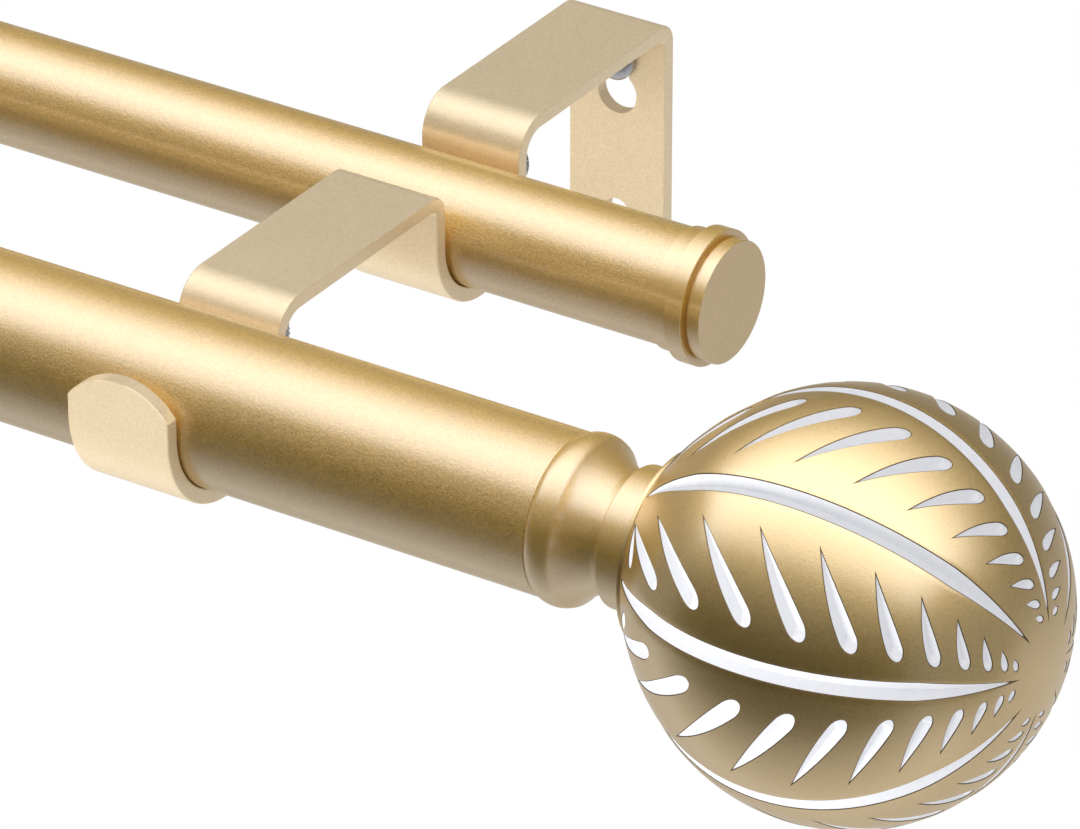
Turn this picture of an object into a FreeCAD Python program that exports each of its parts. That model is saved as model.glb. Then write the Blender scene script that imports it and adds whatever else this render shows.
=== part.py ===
"""Double curtain pole: two tubes on folded strip brackets, carved ball finials in front.

Millimetres. +X runs along the poles, +Z is up, the wall plane is Y = 0 and the room is at -Y.
The origin lies midway between the two lower screw holes of the wall plates.
"""

import FreeCAD, Part
import math
import os

from FreeCAD import Vector

# Poles
bracket_spacing = 570.0
front_overhang = 70.0
front_radius = 12.7
front_wall = 0.9
rear_overhang = 50.0
rear_radius = 9.525
rear_wall = 0.9

# Where the pole axes lie
rear_axis_y = -56.5
rear_axis_z = 23.6
front_axis_y = -126.5
front_axis_z = 24.3

# Bracket strip and its folds
strip_width = 18.3
strip_thick = 2.5
plate_bottom_z = -10.6
rear_arm_top_z = 36.4
front_arm_top_z = 34.7
tight_bend = 1.3
wide_bend = 4.0
rear_cradle_radius = 10.4
front_cradle_radius = 13.1
rest_gap = 0.02
tongue_corner_rise = 4.0
tongue_arch_rise = 4.6

# Holes in the bracket
wall_hole_radius = 2.4
keyhole_radius = 3.7
keyhole_z = 21.8
slot_half_width = 2.1
slot_end_z = 28.2
keyhole_flare = 2.0
tapped_radius = 2.0
lock_screw_rise = 1.0

# Lock screws
lock_shank_radius = 1.95
lock_tip_chamfer = 0.5
lock_hub_radius = 2.8
lock_hub_length = 2.0
lock_head_radius = 4.8
lock_head_length = 6.0
lock_head_chamfer = 0.6

# Wall screws
wall_head_radius = 3.6
wall_head_height = 2.3
wall_rim_height = 1.15
wall_dome_height = 1.95
wall_dome_radius = 2.7
wall_shank_radius = 1.9
wall_screw_depth = 10.0
wall_screw_point = 3.0
recess_width = 0.9
recess_span = 3.8
recess_depth = 1.2

# Finial ball and its carving, angles in degrees
ball_radius = 32.3
ball_from_tube = 48.0
rim_from_tube = 17.45
rim_radius = 15.2
rim_thick = 0.7
flare_start = 128.0
flare_middle = 141.0
flare_middle_rise = 0.42
leaf_count = 4
first_midrib = 56.0
line_near = 12.0
line_far = 155.0
line_width = 3.0
line_taper_width = 4.6
line_depth = 0.9
leaflet_count = 12
leaflet_first = 141.8
leaflet_step = -20.0
leaflet_closing = 0.76
leaflet_sweep = 1.3
leaflet_sweep_offset = -1.9
leaflet_tip_limit = 150.5
leaflet_tip_margin = 9.2
leaflet_margin_growth = 0.7
leaflet_end_margin = 10.2
leaflet_end_radius = 1.5
leaflet_shrink = 0.65
leaflet_depth = 0.8
leaflet_cutter_height = 3.0

# Finial neck, measured from the tube's end
bead_top_x = 2.25
bead_radius = 13.3
bead_end_x = 4.1
bead_end_radius = 12.8
cove_x = 6.35
cove_radius = 10.65
waist_x = 9.4
waist_radius = 9.3
collar_x = 11.0
collar_foot_radius = 9.7
collar_radius = 11.0
collar_round = 0.9

# Stud and plug inside the front tube
stud_radius = 3.0
stud_gap = 0.05
stud_in_ball = 16.0
stud_in_plug = 11.0
plug_length = 14.0

# Cap on the rear tube, measured from the tube's end
cap_gap = 0.025
cap_sleeve_radius = 9.95
cap_sleeve_start = -4.0
cap_collar_start = -0.7
cap_collar_radius = 11.0
cap_groove_start = 2.3
cap_groove_end = 2.8
cap_groove_radius = 9.2
cap_disc_radius = 9.9
cap_end = 5.0
cap_edge = 0.3
cap_spigot_length = 10.0

# Worked out from the above
front_tube_half = bracket_spacing / 2 + front_overhang
rear_tube_half = bracket_spacing / 2 + rear_overhang
front_bore = front_radius - front_wall
rear_bore = rear_radius - rear_wall
rear_cradle_z = rear_axis_z + rear_cradle_radius - rear_radius - rest_gap
front_cradle_z = front_axis_z + front_cradle_radius - front_radius - rest_gap

X_AXIS = Vector(1, 0, 0)
Y_AXIS = Vector(0, 1, 0)
Z_AXIS = Vector(0, 0, 1)
ORIGIN = Vector(0, 0, 0)


def cylinder_x(radius, start, end):
    return Part.makeCylinder(radius, end - start, Vector(start, 0, 0), X_AXIS)


def cylinder_y(radius, start, end, x=0.0, z=0.0):
    return Part.makeCylinder(radius, end - start, Vector(x, start, z), Y_AXIS)


def line(a, b):
    return Part.LineSegment(a, b).toShape()


def arc(a, mid, b):
    return Part.Arc(a, mid, b).toShape()


def turned(edges):
    """Revolve a closed outline in the X-Y plane about the X axis."""
    return Part.Face(Part.Wire(edges)).revolve(ORIGIN, X_AXIS, 360)


def tube(radius, wall, half_length):
    outer = cylinder_x(radius, -half_length, half_length)
    return outer.cut(cylinder_x(radius - wall, -half_length, half_length))


class Fold:
    """Draws the section of a folded strip in the Y-Z plane, one run or bend after another."""

    def __init__(self, y, z, heading):
        self.centre = Vector(0, y, z)
        self.heading = math.radians(heading)
        self.left = []
        self.right = []

    def side(self, sign, heading=None):
        angle = self.heading if heading is None else heading
        normal = Vector(0, -math.sin(angle), math.cos(angle))
        return self.centre + normal * (sign * strip_thick / 2)

    def run(self, length):
        starts = self.side(1), self.side(-1)
        self.centre = self.centre + Vector(0, math.cos(self.heading), math.sin(self.heading)) * length
        self.left.append(line(starts[0], self.side(1)))
        self.right.append(line(starts[1], self.side(-1)))

    def bend(self, degrees, inner_radius):
        turn = math.radians(degrees)
        sign = 1 if degrees > 0 else -1
        radius = inner_radius + strip_thick / 2
        to_pivot = Vector(0, -math.sin(self.heading), math.cos(self.heading)) * (sign * radius)
        pivot = self.centre + to_pivot

        def around(part_of_turn, side):
            angle = self.heading + turn * part_of_turn
            outward = Vector(0, math.sin(angle), -math.cos(angle)) * sign
            return pivot + outward * (radius - sign * side * strip_thick / 2)

        for edges, side in ((self.left, 1), (self.right, -1)):
            edges.append(arc(around(0, side), around(0.5, side), around(1, side)))
        end = self.heading + turn
        self.centre = pivot + Vector(0, math.sin(end), -math.cos(end)) * (sign * radius)
        self.heading = end

    def strip(self):
        first = line(self.left[0].Vertexes[0].Point, self.right[0].Vertexes[0].Point)
        last = line(self.left[-1].Vertexes[-1].Point, self.right[-1].Vertexes[-1].Point)
        outline = Part.Wire(Part.__sortEdges__(self.left + [last] + self.right + [first]))
        face = Part.Face(outline)
        face.translate(Vector(-strip_width / 2, 0, 0))
        return face.extrude(Vector(strip_width, 0, 0))


def folded_strip():
    half = strip_thick / 2
    tongue_top = front_axis_z + tongue_corner_rise + tongue_arch_rise
    rear_back = rear_axis_y + rear_cradle_radius + half
    rear_front = rear_axis_y - rear_cradle_radius - half
    front_back = front_axis_y + front_cradle_radius + half
    tight = tight_bend + half
    wide = wide_bend + half
    rear_arm_z = rear_arm_top_z - half
    front_arm_z = front_arm_top_z - half

    fold = Fold(-half, plate_bottom_z, 90)
    fold.run(rear_arm_z - tight - plate_bottom_z)
    fold.bend(90, tight_bend)
    fold.run(-half - tight - (rear_back + wide))
    fold.bend(90, wide_bend)
    fold.run(rear_arm_z - wide - rear_cradle_z)
    fold.bend(-180, rear_cradle_radius)
    fold.run(front_arm_z - tight - rear_cradle_z)
    fold.bend(90, tight_bend)
    fold.run(rear_front - tight - (front_back + wide))
    fold.bend(90, wide_bend)
    fold.run(front_arm_z - wide - front_cradle_z)
    fold.bend(-180, front_cradle_radius)
    fold.run(tongue_top - front_cradle_z)
    return fold.strip()


def tongue_arch():
    """What the round top of the tongue takes off its two corners."""
    half = strip_width / 2
    base = front_axis_z + tongue_corner_rise
    crown = base + tongue_arch_rise
    y = front_axis_y - front_cradle_radius - 2 * strip_thick
    left, top, right = Vector(-half, y, base), Vector(0, y, crown), Vector(half, y, base)
    above = crown + strip_thick
    upper_left, upper_right = Vector(-half, y, above), Vector(half, y, above)
    edges = [arc(left, top, right), line(right, upper_right), line(upper_right, upper_left),
             line(upper_left, left)]
    return Part.Face(Part.Wire(edges)).extrude(Vector(0, 3 * strip_thick, 0))


def keyhole():
    """Round entry with a slot above it; two flares lead the screw's shank into the slot."""
    flare_x = slot_half_width + keyhole_flare
    reach = keyhole_radius + keyhole_flare
    flare_z = math.sqrt(reach ** 2 - flare_x ** 2)
    y = -2 * strip_thick

    def at(x, z):
        return Vector(x, y, z)

    def mirrored(point):
        return Vector(-point.x, point.y, point.z)

    on_circle = at(flare_x * keyhole_radius / reach, keyhole_z + flare_z * keyhole_radius / reach)
    flare_end = at(slot_half_width, keyhole_z + flare_z)
    middle = math.atan2(-flare_z, -flare_x) / 2 - math.pi / 2
    flare_mid = at(flare_x + keyhole_flare * math.cos(middle),
                   keyhole_z + flare_z + keyhole_flare * math.sin(middle))
    slot_end = at(slot_half_width, slot_end_z)
    slot_top = at(0, slot_end_z + slot_half_width)
    bottom = at(0, keyhole_z - keyhole_radius)
    edges = [
        arc(on_circle, bottom, mirrored(on_circle)),
        arc(mirrored(on_circle), mirrored(flare_mid), mirrored(flare_end)),
        line(mirrored(flare_end), mirrored(slot_end)),
        arc(mirrored(slot_end), slot_top, slot_end),
        line(slot_end, flare_end),
        arc(flare_end, flare_mid, on_circle),
    ]
    return Part.Face(Part.Wire(edges)).extrude(Vector(0, 3 * strip_thick, 0))


def tapped_hole(axis_y, axis_z, cradle_radius):
    back = axis_y + cradle_radius + 2 * strip_thick
    front = axis_y + cradle_radius - strip_thick
    return cylinder_y(tapped_radius, front, back, z=axis_z + lock_screw_rise)


def bracket():
    cuts = [
        tongue_arch(),
        keyhole(),
        cylinder_y(wall_hole_radius, -2 * strip_thick, strip_thick),
        tapped_hole(rear_axis_y, rear_axis_z, rear_cradle_radius),
        tapped_hole(front_axis_y, front_axis_z, front_cradle_radius),
    ]
    return folded_strip().cut(cuts)


def lock_screw(axis_y, axis_z, pole_radius, cradle_radius):
    """Thumb screw from the wall side; its tip presses on the back of the pole."""
    tip = pole_radius + rest_gap
    hub = cradle_radius + strip_thick + rest_gap
    head = hub + lock_hub_length
    end = head + lock_head_length
    points = [
        (tip, 0),
        (tip, lock_shank_radius - lock_tip_chamfer),
        (tip + lock_tip_chamfer, lock_shank_radius),
        (hub, lock_shank_radius),
        (hub, lock_hub_radius),
        (head, lock_hub_radius),
        (head, lock_head_radius - lock_head_chamfer),
        (head + lock_head_chamfer, lock_head_radius),
        (end - lock_head_chamfer, lock_head_radius),
        (end, lock_head_radius - lock_head_chamfer),
        (end, 0),
    ]
    outline = Part.makePolygon([Vector(x, r, 0) for x, r in points + points[:1]])
    screw = Part.Face(outline).revolve(ORIGIN, X_AXIS, 360)
    screw.rotate(ORIGIN, Z_AXIS, 90)
    screw.translate(Vector(0, axis_y, axis_z + lock_screw_rise))
    return screw


def wall_screw():
    """Pan-head screw hanging the plate from its keyhole slot."""
    face = strip_thick + rest_gap
    crown = face + wall_head_height
    point = Vector(-wall_screw_depth, 0, 0)
    point_end = Vector(wall_screw_point - wall_screw_depth, wall_shank_radius, 0)
    under_head = Vector(face, wall_shank_radius, 0)
    head_foot = Vector(face, wall_head_radius, 0)
    head_rim = Vector(face + wall_rim_height, wall_head_radius, 0)
    dome = Vector(face + wall_dome_height, wall_dome_radius, 0)
    top = Vector(crown, 0, 0)
    edges = [
        line(point, point_end),
        line(point_end, under_head),
        line(under_head, head_foot),
        line(head_foot, head_rim),
        arc(head_rim, dome, top),
        line(top, point),
    ]
    screw = turned(edges)
    for sizes in ((recess_span, recess_width), (recess_width, recess_span)):
        bar = Part.makeBox(2 * recess_depth, sizes[0], sizes[1],
                           Vector(crown - recess_depth, -sizes[0] / 2, -sizes[1] / 2))
        screw = screw.cut(bar)
    screw.rotate(ORIGIN, Z_AXIS, -90)
    screw.translate(Vector(0, 0, slot_end_z))
    return screw


def on_ball(colatitude, longitude):
    """Unit vector from the ball's centre; 0 is the outer end, longitude runs from front to top."""
    down, around = math.radians(colatitude), math.radians(longitude)
    return Vector(math.cos(down), -math.sin(down) * math.cos(around),
                  math.sin(down) * math.sin(around))


def carved_line(longitude):
    """Wedge about the chord from tip to tip, cut to one width: even in the middle, pointed at its ends."""
    near, far = on_ball(line_near, longitude), on_ball(line_far, longitude)
    middle = on_ball((line_near + line_far) / 2, longitude)
    to_chord = ball_radius * math.cos(math.radians(line_far - line_near) / 2)
    chord_start = near * ball_radius
    chord = (far - near) * ball_radius
    across = middle.cross(far - near).normalize() * (line_width / 2)
    shoulder = middle * ((ball_radius - to_chord) * line_width / line_taper_width)
    top = middle * ball_radius
    corners = [chord_start, chord_start + shoulder + across, chord_start + top + across,
               chord_start + top - across, chord_start + shoulder - across, chord_start]
    return Part.Face(Part.makePolygon(corners)).extrude(chord)


def leaflet(tip, end, end_radius):
    """Teardrop prism over the ball: sharp at the tip, round at the end."""
    outward = (tip + end).normalize()
    lift = outward * (ball_radius + leaflet_cutter_height)
    tip_point = lift + (tip - outward * tip.dot(outward)) * ball_radius
    end_point = lift + (end - outward * end.dot(outward)) * ball_radius
    along = (end_point - tip_point).normalize()
    across = outward.cross(along)
    centre = end_point - along * end_radius
    length = (centre - tip_point).Length
    lean = math.asin(end_radius / length)
    tangent = across * math.cos(lean) - along * math.sin(lean)
    other = across * -math.cos(lean) - along * math.sin(lean)
    side_a = centre + tangent * end_radius
    side_b = centre + other * end_radius
    edges = [line(tip_point, side_a), arc(side_a, end_point, side_b), line(side_b, tip_point)]
    return Part.Face(Part.Wire(edges)).extrude(outward * (-ball_radius / 2))


def carving():
    """Every groove of one ball: leaf lines on the meridians and leaflets on both sides of a midrib."""
    lines = []
    leaflets = []
    leaf_span = 360.0 / leaf_count
    for leaf in range(leaf_count):
        midrib = first_midrib + leaf * leaf_span
        lines.append(carved_line(midrib))
        lines.append(carved_line(midrib + leaf_span / 2))
        for side in (-1, 1):
            for k in range(leaflet_count):
                end_down = leaflet_first + leaflet_step * k + leaflet_closing * k * k
                tip_down = min(end_down * leaflet_sweep + leaflet_sweep_offset, leaflet_tip_limit)
                tip_margin = leaflet_tip_margin / math.sin(math.radians(tip_down)) ** leaflet_margin_growth
                tip = on_ball(tip_down, midrib + side * tip_margin)
                end = on_ball(end_down, midrib + side * (leaf_span / 2 - leaflet_end_margin))
                size = leaflet_end_radius * math.sin(math.radians(end_down)) ** leaflet_shrink
                leaflets.append(leaflet(tip, end, size))
    line_floor = ball_body(line_depth)
    leaflet_floor = ball_body(leaflet_depth)
    return [tool.cut(line_floor) for tool in lines] + [tool.cut(leaflet_floor) for tool in leaflets]


def ball_body(inset):
    """Plain ball about its own centre that flares to a thin rim at its seat, shrunk by the inset."""
    seat = rim_from_tube - ball_from_tube
    radius = ball_radius - inset
    rim = rim_radius - inset

    def at(colatitude, distance):
        down = math.radians(colatitude)
        return Vector(distance * math.cos(down), distance * math.sin(down), 0)

    pole = Vector(radius, 0, 0)
    start = at(flare_start, radius)
    rim_edge = Vector(seat + rim_thick, rim, 0)
    edges = [
        arc(pole, at(flare_start / 2, radius), start),
        arc(start, at(flare_middle, radius + flare_middle_rise), rim_edge),
        line(rim_edge, Vector(seat, rim, 0)),
        line(Vector(seat, rim, 0), Vector(seat, 0, 0)),
        line(Vector(seat, 0, 0), pole),
    ]
    return turned(edges)


def finial_ball():
    """Carved ball with a blind bore for the stud in its seat."""
    seat = rim_from_tube - ball_from_tube
    bore = cylinder_x(stud_radius + stud_gap, seat - 1, seat + stud_in_ball + 1)
    return ball_body(0).cut([bore] + carving())


def finial_neck():
    bore = stud_radius + stud_gap
    bead_top = Vector(bead_top_x, bead_radius, 0)
    bead_end = Vector(bead_end_x, bead_end_radius, 0)
    cove = Vector(cove_x, cove_radius, 0)
    waist = Vector(waist_x, waist_radius, 0)
    collar_foot = Vector(collar_x, collar_foot_radius, 0)
    collar_low = Vector(collar_x, collar_radius - collar_round, 0)
    collar_high = Vector(collar_x + collar_round, collar_radius, 0)
    slope = collar_round * (1 - math.sqrt(0.5))
    collar_mid = Vector(collar_x + slope, collar_radius - slope, 0)
    edges = [
        line(Vector(0, bore, 0), Vector(0, front_radius, 0)),
        arc(Vector(0, front_radius, 0), bead_top, bead_end),
        arc(bead_end, cove, waist),
        line(waist, collar_foot),
        line(collar_foot, collar_low),
        arc(collar_low, collar_mid, collar_high),
        line(collar_high, Vector(rim_from_tube, collar_radius, 0)),
        line(Vector(rim_from_tube, collar_radius, 0), Vector(rim_from_tube, bore, 0)),
        line(Vector(rim_from_tube, bore, 0), Vector(0, bore, 0)),
    ]
    return turned(edges)


def finial_stud():
    return cylinder_x(stud_radius, -stud_in_plug, rim_from_tube + stud_in_ball)


def pole_plug():
    body = cylinder_x(front_bore - stud_gap / 2, -plug_length, 0)
    return body.cut(cylinder_x(stud_radius + stud_gap, -plug_length, 0))


def rear_cap():
    """Turned cap: a sleeve over the tube, a spigot inside it, a collar, a groove and a disc."""
    spigot = rear_bore - cap_gap
    sleeve = rear_radius + cap_gap
    points = [
        (-cap_spigot_length, 0),
        (-cap_spigot_length, spigot),
        (cap_gap, spigot),
        (cap_gap, sleeve),
        (cap_sleeve_start, sleeve),
        (cap_sleeve_start, cap_sleeve_radius),
        (cap_collar_start, cap_sleeve_radius),
        (cap_collar_start, cap_collar_radius),
        (cap_groove_start, cap_collar_radius),
        (cap_groove_start, cap_groove_radius),
        (cap_groove_end, cap_groove_radius),
        (cap_groove_end, cap_disc_radius),
        (cap_end - cap_edge, cap_disc_radius),
        (cap_end, cap_disc_radius - cap_edge),
        (cap_end, 0),
    ]
    outline = Part.makePolygon([Vector(x, r, 0) for x, r in points + points[:1]])
    return Part.Face(outline).revolve(ORIGIN, X_AXIS, 360)


def placed(shape, side, offset):
    """Copy of a right-hand end piece; the left one is the same piece turned half round."""
    piece = shape.copy()
    piece.translate(offset)
    if side < 0:
        piece.rotate(Vector(0, offset.y, offset.z), Z_AXIS, 180)
    return piece


def build():
    front_end = Vector(front_tube_half, front_axis_y, front_axis_z)
    rear_end = Vector(rear_tube_half, rear_axis_y, rear_axis_z)
    front_pole = tube(front_radius, front_wall, front_tube_half)
    front_pole.translate(Vector(0, front_axis_y, front_axis_z))
    rear_pole = tube(rear_radius, rear_wall, rear_tube_half)
    rear_pole.translate(Vector(0, rear_axis_y, rear_axis_z))
    pieces = {"front_pole": front_pole, "rear_pole": rear_pole}

    at_bracket = {
        "bracket": bracket(),
        "rear_lock_screw": lock_screw(rear_axis_y, rear_axis_z, rear_radius, rear_cradle_radius),
        "front_lock_screw": lock_screw(front_axis_y, front_axis_z, front_radius,
                                       front_cradle_radius),
        "wall_screw": wall_screw(),
    }
    at_front_end = {
        "finial_neck": finial_neck(),
        "finial_stud": finial_stud(),
        "pole_plug": pole_plug(),
    }
    ball = finial_ball()
    cap = rear_cap()
    for name, side in (("left", -1), ("right", 1)):
        for node, shape in at_bracket.items():
            piece = shape.copy()
            piece.translate(Vector(side * bracket_spacing / 2, 0, 0))
            pieces[name + "_" + node] = piece
        for node, shape in at_front_end.items():
            pieces[name + "_" + node] = placed(shape, side, front_end)
        ball_centre = front_end + Vector(ball_from_tube, 0, 0)
        pieces[name + "_finial_ball"] = placed(ball, side, ball_centre)
        pieces[name + "_rear_cap"] = placed(cap, side, rear_end)
    return pieces


os.makedirs("parts", exist_ok=True)
for node, shape in build().items():
    shape.exportStep("parts/" + node + ".step")
    print(node, len(shape.Solids), "solid", shape.isValid(), round(shape.Volume, 1), "mm3")
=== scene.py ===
import math

import bmesh
import bpy
from mathutils import Matrix, Vector, geometry

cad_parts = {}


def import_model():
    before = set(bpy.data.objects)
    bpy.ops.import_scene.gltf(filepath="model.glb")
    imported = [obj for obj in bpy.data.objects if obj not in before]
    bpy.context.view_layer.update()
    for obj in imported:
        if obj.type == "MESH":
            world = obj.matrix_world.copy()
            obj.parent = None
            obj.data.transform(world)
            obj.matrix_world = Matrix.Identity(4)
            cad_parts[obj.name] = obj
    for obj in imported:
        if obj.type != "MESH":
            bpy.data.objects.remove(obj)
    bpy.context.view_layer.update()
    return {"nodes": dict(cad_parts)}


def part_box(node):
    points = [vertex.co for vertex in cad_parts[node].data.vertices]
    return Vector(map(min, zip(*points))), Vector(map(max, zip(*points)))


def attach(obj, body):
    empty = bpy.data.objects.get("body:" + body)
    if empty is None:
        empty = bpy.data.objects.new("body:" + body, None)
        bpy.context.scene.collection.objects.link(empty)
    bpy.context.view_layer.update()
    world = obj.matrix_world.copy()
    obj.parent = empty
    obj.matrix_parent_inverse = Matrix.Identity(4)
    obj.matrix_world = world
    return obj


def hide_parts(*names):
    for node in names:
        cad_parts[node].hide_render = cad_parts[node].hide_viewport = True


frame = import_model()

# All lengths below are millimetres; meshes are written in metres.
MM = 0.001
ROOT = "root"
ENDS = (("left", -1), ("right", 1))


# Sizes read from the frame

def span(node, axis):
    low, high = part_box(node)
    return low[axis] / MM, high[axis] / MM


def middle(node, axis):
    low, high = span(node, axis)
    return (low + high) / 2


def size(node, axis):
    low, high = span(node, axis)
    return high - low


FRONT_R = size("front_pole", 2) / 2
REAR_R = size("rear_pole", 2) / 2
FRONT_Y, FRONT_Z = middle("front_pole", 1), middle("front_pole", 2)
REAR_Y, REAR_Z = middle("rear_pole", 1), middle("rear_pole", 2)
FRONT_HALF = size("front_pole", 0) / 2
REAR_HALF = size("rear_pole", 0) / 2
BALL_R = size("right_finial_ball", 2) / 2
BALL_X = span("right_finial_ball", 0)[1] - BALL_R
BALL_FROM_TUBE = BALL_X - FRONT_HALF
BRACKET_X = middle("right_bracket", 0)
STRIP_W = size("right_bracket", 0)
PLATE_BOTTOM, REAR_ARM_TOP = span("right_bracket", 2)

# The camera's place, worked out from the photograph
CAMERA_AZIMUTH = math.radians(32.73)
CAMERA_ELEVATION = math.radians(29.16)
CAMERA_DISTANCE = 1256.2
CAMERA_TARGET = (BRACKET_X + 22.1, -60.0, REAR_Z - 27.96)
FOCAL_PIXELS = 7998.0
IMAGE_WIDTH = 1080
SENSOR_WIDTH = 36.0

# Bracket strip
STRIP_T = 2.5
TIGHT_BEND = 1.3
WIDE_BEND = 4.0
REAR_CRADLE = 10.4
FRONT_CRADLE = 13.1
REST_GAP = 0.02
FRONT_ARM_TOP = REAR_ARM_TOP - 1.7
TONGUE_CORNER = FRONT_Z + 4.0
TONGUE_RISE = 4.6
EDGE_ROUND = 0.3
BEND_STEP = math.radians(5)
WALL_HOLE_R = 2.4
KEYHOLE_R = 3.7
KEYHOLE_Z = 21.8
SLOT_HALF = 2.1
SLOT_END_Z = 28.2
KEYHOLE_FLARE = 2.0
TAPPED_R = 2.0

# Tubes
TUBE_WALL = 0.9
TUBE_EDGE_ROUND = 0.15

# Lock screws
LOCK_RISE = 1.0
SHANK_R, SHANK_TIP_R, SHANK_CHAMFER = 1.95, 1.45, 0.5
HUB_R, HUB_LENGTH = 2.8, 2.0
HEAD_R, HEAD_RIM_R, HEAD_LENGTH, HEAD_CHAMFER = 4.8, 4.2, 6.0, 0.5
KNURL_RIDGES, KNURL_PITCH, KNURL_DEPTH = 36, 1.15, 0.3

# Finial neck, as (distance from the tube's end, radius)
NECK_BORE = 3.05
NECK_EDGE_ROUND = 0.15
BEAD_START, BEAD_TOP, BEAD_END = (0.12, FRONT_R), (2.25, 13.3), (4.1, 12.8)
COVE, WAIST = (6.35, 10.65), (9.4, 9.3)
COLLAR_SLOPE, COLLAR_FOOT, COLLAR_TOP = (10.2, 9.45), (11.0, 9.7), (11.0, 11.0)
COLLAR_ROUND = 0.8

# Rear cap, in the same way: sleeve, collar, groove and end disc
CAP_GAP = 0.025
CAP_SPIGOT_START = -10
CAP_SLEEVE_START = -4
CAP_OUTSIDE = [(-4, 9.95), (-0.7, 9.95), (-0.7, 11.0), (2.3, 11.0), (2.3, 9.2), (2.8, 9.2),
               (2.8, 9.9), (5.0, 9.9), (5.0, 0)]
CAP_EDGE_ROUND = 0.18

# Finial ball and its carving, angles in degrees. The drops are depths below the ball's surface.
RIM_FROM_TUBE = 17.45
RIM_R = 15.2
RIM_THICK = 0.7
RIM_ANGLE = 153.0
FLARE_START = 128.0
FLARE_RISE = 1.2
FLARE_STRAIGHT = 0.4
LEAVES = 4
FIRST_MIDRIB = 56.0
LINE_NEAR, LINE_FAR = 12.0, 155.0
LINE_WIDTH, LINE_TAPER_WIDTH = 3.0, 4.6
LINE_END, LINE_CLOSING = 152.6, 3.0
LEAFLETS = 12
LEAFLET_FIRST, LEAFLET_STEP, LEAFLET_CLOSING = 141.8, -20.0, 0.76
LEAFLET_SWEEP, LEAFLET_SWEEP_OFFSET = 1.3, -1.9
LEAFLET_TIP_LIMIT = 150.5
LEAFLET_TIP_MARGIN, LEAFLET_MARGIN_GROWTH = 9.2, 0.7
LEAFLET_END_MARGIN = 10.2
LEAFLET_ROUND, LEAFLET_SHRINK = 1.5, 0.65
LEAFLET_CAP, CAP_FULLNESS = 1.8, 0.85
SHOULDER, SHOULDER_DROP = 1.1, 0.16
LIP = 0.14
WHITE_DROP = 0.1
GROOVE_SLOPE = 0.75
CROWN_ANGLE = 3.0

# How finely the carving is drawn; the white starts where a groove is some lips wide
LINE_STEPS = 140
LEAFLET_STEPS, CAP_STEPS = 22, 16
LINE_WHITE_FROM, LEAFLET_WHITE_FROM = 1.3, 1.6
GRID_STEP = 1.25
GRID_SHIFT = 0.25
GRID_CLEARANCE = 0.4
WELD = 0.005

# What a carved point is, from the surface down, and the ball's material numbers; the last of them is the
# painted shade on the step into a groove
PLAIN, LIP_LINE, WHITE_EDGE, FURROW = range(4)
GOLD_FACE, WHITE_FACE, LIP_SHADE_FACE = range(3)

# Studio: brightness of the world, size of the floor and the card, place of the lamp
WORLD_LEVEL = 0.77
FLOOR_Z, FLOOR_HALF = -1400.0, 8000.0
TENT_RADIUS, TENT_HALF, TENT_FADE = 1100.0, 2600.0, 900.0
LAMP_SPOT, LAMP_AIM = (-100.0, -1130.0, -400.0), (350.0, -80.0, 0.0)
LAMP_WIDTH, LAMP_HEIGHT, LAMP_POWER = 1200.0, 600.0, 11.0

# How bright the card round the poles is, by elevation in degrees from the room side: dark in front
# of them, a softbox overhead
TENT_LEVELS = ((-110, 0.60), (-90, 0.84), (-70, 0.62), (-50, 0.40), (-35, 0.13), (-20, 0.08), (0, 0.02),
               (25, 0.18), (40, 0.28), (50, 1.05), (60, 1.70), (72, 2.05), (84, 2.30), (96, 2.10),
               (108, 1.65), (120, 1.15), (135, 0.42), (155, 0.14), (180, 0.26), (213, 0.66), (250, 0.60))
TENT_PEAK = 2.3
TENT_END = 0.28


# Mesh helpers

def make_object(name, vertices, faces, materials, face_materials=None):
    mesh = bpy.data.meshes.new(name)
    mesh.from_pydata([tuple(c * MM for c in v) for v in vertices], [], faces)
    for material in materials:
        mesh.materials.append(material)
    if face_materials:
        mesh.polygons.foreach_set("material_index", face_materials)
    mesh.validate()
    obj = bpy.data.objects.new(name, mesh)
    bpy.context.scene.collection.objects.link(obj)
    return obj


def clean_normals(obj):
    work = bmesh.new()
    work.from_mesh(obj.data)
    bmesh.ops.recalc_face_normals(work, faces=work.faces)
    work.to_mesh(obj.data)
    work.free()


def smooth(obj, angle=35.0):
    """Shades the object smooth, with a crease where faces meet at more than the angle."""
    obj.data.polygons.foreach_set("use_smooth", [True] * len(obj.data.polygons))
    obj.data.set_sharp_from_angle(angle=math.radians(angle))
    weighted = obj.modifiers.new("even faces", "WEIGHTED_NORMAL")
    weighted.keep_sharp = True
    return obj


def rounded(points, radius, steps):
    """A polyline with every inner corner rounded; the first and last points stay."""
    result = [points[0]]
    for before, corner, after in zip(points, points[1:], points[2:]):
        c = Vector(corner)
        a, b = Vector(before) - c, Vector(after) - c
        bend = a.angle(b, 0.0)
        if bend > math.radians(165):
            result.append(corner)
            continue
        reach = min(radius / math.tan(bend / 2), a.length * 0.45, b.length * 0.45)
        start, end = c + a.normalized() * reach, c + b.normalized() * reach
        for i in range(steps + 1):
            t = i / steps
            point = start * (1 - t) ** 2 + c * (2 * t * (1 - t)) + end * t ** 2
            result.append((point.x, point.y))
    result.append(points[-1])
    return result


def arc_about(centre, radius, start, sweep, steps):
    """Points on a circle about a centre, with both ends of the sweep."""
    return [(centre[0] + radius * math.cos(start + sweep * i / steps),
             centre[1] + radius * math.sin(start + sweep * i / steps)) for i in range(steps + 1)]


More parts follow.
